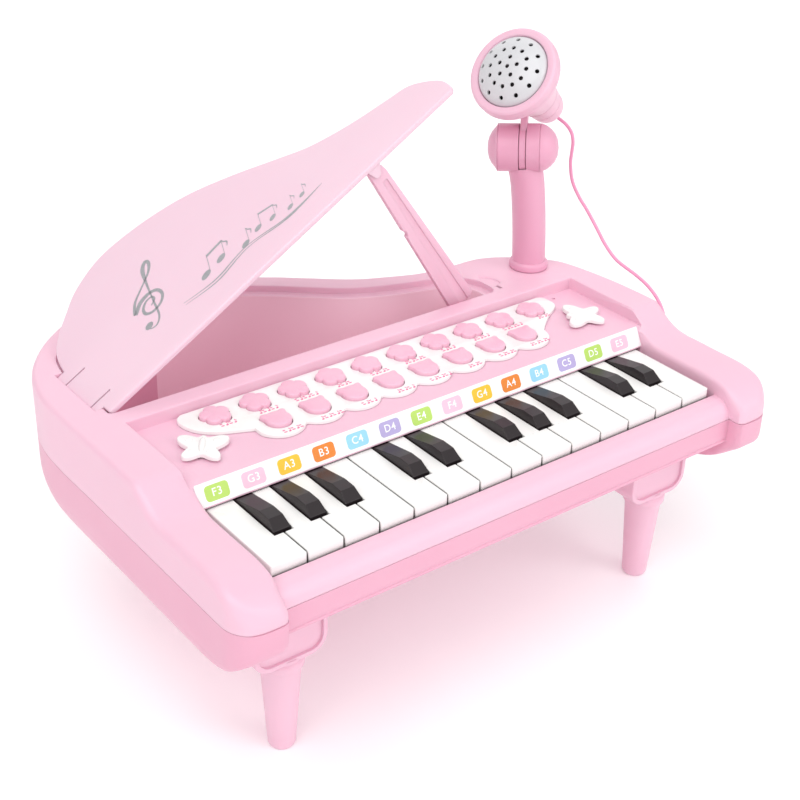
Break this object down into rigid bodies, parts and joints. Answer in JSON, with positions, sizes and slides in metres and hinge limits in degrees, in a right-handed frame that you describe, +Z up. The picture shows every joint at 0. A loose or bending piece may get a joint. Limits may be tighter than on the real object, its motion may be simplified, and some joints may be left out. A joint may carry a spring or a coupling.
{
  "type": "toy grand piano keyboard",
  "caption": "Toy grand piano with sprung black and white keys, shaped sound buttons, a propped lid over a deep well, three tapered legs and a tilting microphone on a post.",
  "frame": {"origin": "centre of the footprint on the floor, under the middle of the casing", "axes": "+X to the treble end, +Y from the keyboard to the back, +Z up"},
  "size_m": [0.3848, 0.2942, 0.3115],
  "materials": {
    "body_pink": "satin injection-moulded plastic, pale pink",
    "button_pink": "satin moulded plastic, mid pink",
    "white_gloss": "glossy moulded plastic, white",
    "black_key": "glossy moulded plastic, near black",
    "lead_sheath": "soft extruded sheath, pink",
    "circuit_board": "laminated board with solder mask",
    "speaker_steel": "pressed plated steel"
  },
  "bodies": {
    "casing": {"upper_casing": "body_pink", "lower_casing": "body_pink", "battery_cover": "body_pink", "front_left_leg": "body_pink", "front_right_leg": "body_pink", "rear_leg": "body_pink", "button_panel": "white_gloss", "circuit_board": "circuit_board", "speaker": "speaker_steel", "mic_post": "body_pink", "mic_lead": "lead_sheath"},
    "lid": {"lid": "body_pink"},
    "lid_prop": {"lid_prop": "body_pink"},
    "microphone": {"mic_clip": "body_pink", "mic_body": "body_pink", "mic_grille": "white_gloss"},
    "white_key_1": {"white_key_1": "white_gloss"},
    "white_key_2": {"white_key_2": "white_gloss"},
    "white_key_3": {"white_key_3": "white_gloss"},
    "white_key_4": {"white_key_4": "white_gloss"},
    "white_key_5": {"white_key_5": "white_gloss"},
    "white_key_6": {"white_key_6": "white_gloss"},
    "white_key_7": {"white_key_7": "white_gloss"},
    "white_key_8": {"white_key_8": "white_gloss"},
    "white_key_9": {"white_key_9": "white_gloss"},
    "white_key_10": {"white_key_10": "white_gloss"},
    "white_key_11": {"white_key_11": "white_gloss"},
    "white_key_12": {"white_key_12": "white_gloss"},
    "white_key_13": {"white_key_13": "white_gloss"},
    "white_key_14": {"white_key_14": "white_gloss"},
    "black_key_1": {"black_key_1": "black_key"},
    "black_key_2": {"black_key_2": "black_key"},
    "black_key_3": {"black_key_3": "black_key"},
    "black_key_4": {"black_key_4": "black_key"},
    "black_key_5": {"black_key_5": "black_key"},
    "black_key_6": {"black_key_6": "black_key"},
    "black_key_7": {"black_key_7": "black_key"},
    "black_key_8": {"black_key_8": "black_key"},
    "black_key_9": {"black_key_9": "black_key"},
    "black_key_10": {"black_key_10": "black_key"},
    "sound_button_1": {"sound_button_1": "button_pink"},
    "sound_button_2": {"sound_button_2": "button_pink"},
    "sound_button_3": {"sound_button_3": "button_pink"},
    "sound_button_4": {"sound_button_4": "button_pink"},
    "sound_button_5": {"sound_button_5": "button_pink"},
    "sound_button_6": {"sound_button_6": "button_pink"},
    "sound_button_7": {"sound_button_7": "button_pink"},
    "sound_button_8": {"sound_button_8": "button_pink"},
    "sound_button_9": {"sound_button_9": "button_pink"},
    "sound_button_10": {"sound_button_10": "button_pink"},
    "sound_button_11": {"sound_button_11": "button_pink"},
    "sound_button_12": {"sound_button_12": "button_pink"},
    "sound_button_13": {"sound_button_13": "button_pink"},
    "sound_button_14": {"sound_button_14": "button_pink"},
    "sound_button_15": {"sound_button_15": "button_pink"},
    "sound_button_16": {"sound_button_16": "button_pink"},
    "sound_button_17": {"sound_button_17": "button_pink"},
    "sound_button_18": {"sound_button_18": "button_pink"},
    "left_butterfly_button": {"left_butterfly_button": "white_gloss"},
    "right_butterfly_button": {"right_butterfly_button": "white_gloss"}
  },
  "joints": [
    {"name": "lid_hinge", "type": "hinge", "parent": "casing", "child": "lid", "pos_m": [-0.163, 0.046, 0.1554], "axis": [0, 1, 0], "range_deg": [0, 31.1]},
    {"name": "lid_prop_pivot", "type": "hinge", "parent": "lid", "child": "lid_prop", "pos_m": [0.0134, 0.026, 0.25597], "axis": [0, 1, 0], "range_deg": [0, 91.8]},
    {"name": "mic_tilt", "type": "hinge", "parent": "casing", "child": "microphone", "pos_m": [0.1432, 0.0423, 0.2396], "axis": [0.7088, -0.7028, 0.06], "range_deg": [-30, 45], "deforming": ["mic_lead"]},
    {"name": "left_butterfly_button_press", "type": "slide", "parent": "casing", "child": "left_butterfly_button", "axis": [0, 0, -1], "range_m": [0, 0.0012], "stiffness_N_per_m": 500, "springref_m": -0.001},
    {"name": "right_butterfly_button_press", "type": "slide", "parent": "casing", "child": "right_butterfly_button", "axis": [0, 0, -1], "range_m": [0, 0.0012], "stiffness_N_per_m": 500, "springref_m": -0.001},
    {"name": "sound_button_1_press", "type": "slide", "parent": "casing", "child": "sound_button_1", "axis": [0, 0, -1], "range_m": [0, 0.0015], "stiffness_N_per_m": 500, "springref_m": -0.001},
    {"name": "sound_button_2_press", "type": "slide", "parent": "casing", "child": "sound_button_2", "axis": [0, 0, -1], "range_m": [0, 0.0015], "stiffness_N_per_m": 500, "springref_m": -0.001},
    {"name": "sound_button_3_press", "type": "slide", "parent": "casing", "child": "sound_button_3", "axis": [0, 0, -1], "range_m": [0, 0.0015], "stiffness_N_per_m": 500, "springref_m": -0.001},
    {"name": "sound_button_4_press", "type": "slide", "parent": "casing", "child": "sound_button_4", "axis": [0, 0, -1], "range_m": [0, 0.0015], "stiffness_N_per_m": 500, "springref_m": -0.001},
    {"name": "sound_button_5_press", "type": "slide", "parent": "casing", "child": "sound_button_5", "axis": [0, 0, -1], "range_m": [0, 0.0015], "stiffness_N_per_m": 500, "springref_m": -0.001},
    {"name": "sound_button_6_press", "type": "slide", "parent": "casing", "child": "sound_button_6", "axis": [0, 0, -1], "range_m": [0, 0.0015], "stiffness_N_per_m": 500, "springref_m": -0.001},
    {"name": "sound_button_7_press", "type": "slide", "parent": "casing", "child": "sound_button_7", "axis": [0, 0, -1], "range_m": [0, 0.0015], "stiffness_N_per_m": 500, "springref_m": -0.001},
    {"name": "sound_button_8_press", "type": "slide", "parent": "casing", "child": "sound_button_8", "axis": [0, 0, -1], "range_m": [0, 0.0015], "stiffness_N_per_m": 500, "springref_m": -0.001},
    {"name": "sound_button_9_press", "type": "slide", "parent": "casing", "child": "sound_button_9", "axis": [0, 0, -1], "range_m": [0, 0.0015], "stiffness_N_per_m": 500, "springref_m": -0.001},
    {"name": "sound_button_10_press", "type": "slide", "parent": "casing", "child": "sound_button_10", "axis": [0, 0, -1], "range_m": [0, 0.0015], "stiffness_N_per_m": 500, "springref_m": -0.001},
    {"name": "sound_button_11_press", "type": "slide", "parent": "casing", "child": "sound_button_11", "axis": [0, 0, -1], "range_m": [0, 0.0015], "stiffness_N_per_m": 500, "springref_m": -0.001},
    {"name": "sound_button_12_press", "type": "slide", "parent": "casing", "child": "sound_button_12", "axis": [0, 0, -1], "range_m": [0, 0.0015], "stiffness_N_per_m": 500, "springref_m": -0.001},
    {"name": "sound_button_13_press", "type": "slide", "parent": "casing", "child": "sound_button_13", "axis": [0, 0, -1], "range_m": [0, 0.0015], "stiffness_N_per_m": 500, "springref_m": -0.001},
    {"name": "sound_button_14_press", "type": "slide", "parent": "casing", "child": "sound_button_14", "axis": [0, 0, -1], "range_m": [0, 0.0015], "stiffness_N_per_m": 500, "springref_m": -0.001},
    {"name": "sound_button_15_press", "type": "slide", "parent": "casing", "child": "sound_button_15", "axis": [0, 0, -1], "range_m": [0, 0.0015], "stiffness_N_per_m": 500, "springref_m": -0.001},
    {"name": "sound_button_16_press", "type": "slide", "parent": "casing", "child": "sound_button_16", "axis": [0, 0, -1], "range_m": [0, 0.0015], "stiffness_N_per_m": 500, "springref_m": -0.001},
    {"name": "sound_button_17_press", "type": "slide", "parent": "casing", "child": "sound_button_17", "axis": [0, 0, -1], "range_m": [0, 0.0015], "stiffness_N_per_m": 500, "springref_m": -0.001},
    {"name": "sound_button_18_press", "type": "slide", "parent": "casing", "child": "sound_button_18", "axis": [0, 0, -1], "range_m": [0, 0.0015], "stiffness_N_per_m": 500, "springref_m": -0.001},
    {"name": "white_key_1_press", "type": "hinge", "parent": "casing", "child": "white_key_1", "pos_m": [0, -0.0476, 0.1346], "axis": [1, 0, 0], "range_deg": [0, 2.8], "stiffness_Nm_per_rad": 0.25, "springref_deg": -5.73},
    {"name": "white_key_2_press", "type": "hinge", "parent": "casing", "child": "white_key_2", "pos_m": [0, -0.0476, 0.1346], "axis": [1, 0, 0], "range_deg": [0, 2.8], "stiffness_Nm_per_rad": 0.25, "springref_deg": -5.73},
    {"name": "white_key_3_press", "type": "hinge", "parent": "casing", "child": "white_key_3", "pos_m": [0, -0.0476, 0.1346], "axis": [1, 0, 0], "range_deg": [0, 2.8], "stiffness_Nm_per_rad": 0.25, "springref_deg": -5.73},
    {"name": "white_key_4_press", "type": "hinge", "parent": "casing", "child": "white_key_4", "pos_m": [0, -0.0476, 0.1346], "axis": [1, 0, 0], "range_deg": [0, 2.8], "stiffness_Nm_per_rad": 0.25, "springref_deg": -5.73},
    {"name": "white_key_5_press", "type": "hinge", "parent": "casing", "child": "white_key_5", "pos_m": [0, -0.0476, 0.1346], "axis": [1, 0, 0], "range_deg": [0, 2.8], "stiffness_Nm_per_rad": 0.25, "springref_deg": -5.73},
    {"name": "white_key_6_press", "type": "hinge", "parent": "casing", "child": "white_key_6", "pos_m": [0, -0.0476, 0.1346], "axis": [1, 0, 0], "range_deg": [0, 2.8], "stiffness_Nm_per_rad": 0.25, "springref_deg": -5.73},
    {"name": "white_key_7_press", "type": "hinge", "parent": "casing", "child": "white_key_7", "pos_m": [0, -0.0476, 0.1346], "axis": [1, 0, 0], "range_deg": [0, 2.8], "stiffness_Nm_per_rad": 0.25, "springref_deg": -5.73},
    {"name": "white_key_8_press", "type": "hinge", "parent": "casing", "child": "white_key_8", "pos_m": [0, -0.0476, 0.1346], "axis": [1, 0, 0], "range_deg": [0, 2.8], "stiffness_Nm_per_rad": 0.25, "springref_deg": -5.73},
    {"name": "white_key_9_press", "type": "hinge", "parent": "casing", "child": "white_key_9", "pos_m": [0, -0.0476, 0.1346], "axis": [1, 0, 0], "range_deg": [0, 2.8], "stiffness_Nm_per_rad": 0.25, "springref_deg": -5.73},
    {"name": "white_key_10_press", "type": "hinge", "parent": "casing", "child": "white_key_10", "pos_m": [0, -0.0476, 0.1346], "axis": [1, 0, 0], "range_deg": [0, 2.8], "stiffness_Nm_per_rad": 0.25, "springref_deg": -5.73},
    {"name": "white_key_11_press", "type": "hinge", "parent": "casing", "child": "white_key_11", "pos_m": [0, -0.0476, 0.1346], "axis": [1, 0, 0], "range_deg": [0, 2.8], "stiffness_Nm_per_rad": 0.25, "springref_deg": -5.73},
    {"name": "white_key_12_press", "type": "hinge", "parent": "casing", "child": "white_key_12", "pos_m": [0, -0.0476, 0.1346], "axis": [1, 0, 0], "range_deg": [0, 2.8], "stiffness_Nm_per_rad": 0.25, "springref_deg": -5.73},
    {"name": "white_key_13_press", "type": "hinge", "parent": "casing", "child": "white_key_13", "pos_m": [0, -0.0476, 0.1346], "axis": [1, 0, 0], "range_deg": [0, 2.8], "stiffness_Nm_per_rad": 0.25, "springref_deg": -5.73},
    {"name": "white_key_14_press", "type": "hinge", "parent": "casing", "child": "white_key_14", "pos_m": [0, -0.0476, 0.1346], "axis": [1, 0, 0], "range_deg": [0, 2.8], "stiffness_Nm_per_rad": 0.25, "springref_deg": -5.73},
    {"name": "black_key_1_press", "type": "hinge", "parent": "casing", "child": "black_key_1", "pos_m": [0, -0.0476, 0.1346], "axis": [1, 0, 0], "range_deg": [0, 2.8], "stiffness_Nm_per_rad": 0.25, "springref_deg": -5.73},
    {"name": "black_key_2_press", "type": "hinge", "parent": "casing", "child": "black_key_2", "pos_m": [0, -0.0476, 0.1346], "axis": [1, 0, 0], "range_deg": [0, 2.8], "stiffness_Nm_per_rad": 0.25, "springref_deg": -5.73},
    {"name": "black_key_3_press", "type": "hinge", "parent": "casing", "child": "black_key_3", "pos_m": [0, -0.0476, 0.1346], "axis": [1, 0, 0], "range_deg": [0, 2.8], "stiffness_Nm_per_rad": 0.25, "springref_deg": -5.73},
    {"name": "black_key_4_press", "type": "hinge", "parent": "casing", "child": "black_key_4", "pos_m": [0, -0.0476, 0.1346], "axis": [1, 0, 0], "range_deg": [0, 2.8], "stiffness_Nm_per_rad": 0.25, "springref_deg": -5.73},
    {"name": "black_key_5_press", "type": "hinge", "parent": "casing", "child": "black_key_5", "pos_m": [0, -0.0476, 0.1346], "axis": [1, 0, 0], "range_deg": [0, 2.8], "stiffness_Nm_per_rad": 0.25, "springref_deg": -5.73},
    {"name": "black_key_6_press", "type": "hinge", "parent": "casing", "child": "black_key_6", "pos_m": [0, -0.0476, 0.1346], "axis": [1, 0, 0], "range_deg": [0, 2.8], "stiffness_Nm_per_rad": 0.25, "springref_deg": -5.73},
    {"name": "black_key_7_press", "type": "hinge", "parent": "casing", "child": "black_key_7", "pos_m": [0, -0.0476, 0.1346], "axis": [1, 0, 0], "range_deg": [0, 2.8], "stiffness_Nm_per_rad": 0.25, "springref_deg": -5.73},
    {"name": "black_key_8_press", "type": "hinge", "parent": "casing", "child": "black_key_8", "pos_m": [0, -0.0476, 0.1346], "axis": [1, 0, 0], "range_deg": [0, 2.8], "stiffness_Nm_per_rad": 0.25, "springref_deg": -5.73},
    {"name": "black_key_9_press", "type": "hinge", "parent": "casing", "child": "black_key_9", "pos_m": [0, -0.0476, 0.1346], "axis": [1, 0, 0], "range_deg": [0, 2.8], "stiffness_Nm_per_rad": 0.25, "springref_deg": -5.73},
    {"name": "black_key_10_press", "type": "hinge", "parent": "casing", "child": "black_key_10", "pos_m": [0, -0.0476, 0.1346], "axis": [1, 0, 0], "range_deg": [0, 2.8], "stiffness_Nm_per_rad": 0.25, "springref_deg": -5.73}
  ],
  "couplings": [
    {"joint": "lid_prop_pivot", "follows": "lid_hinge", "ratio": 2.9486}
  ]
}
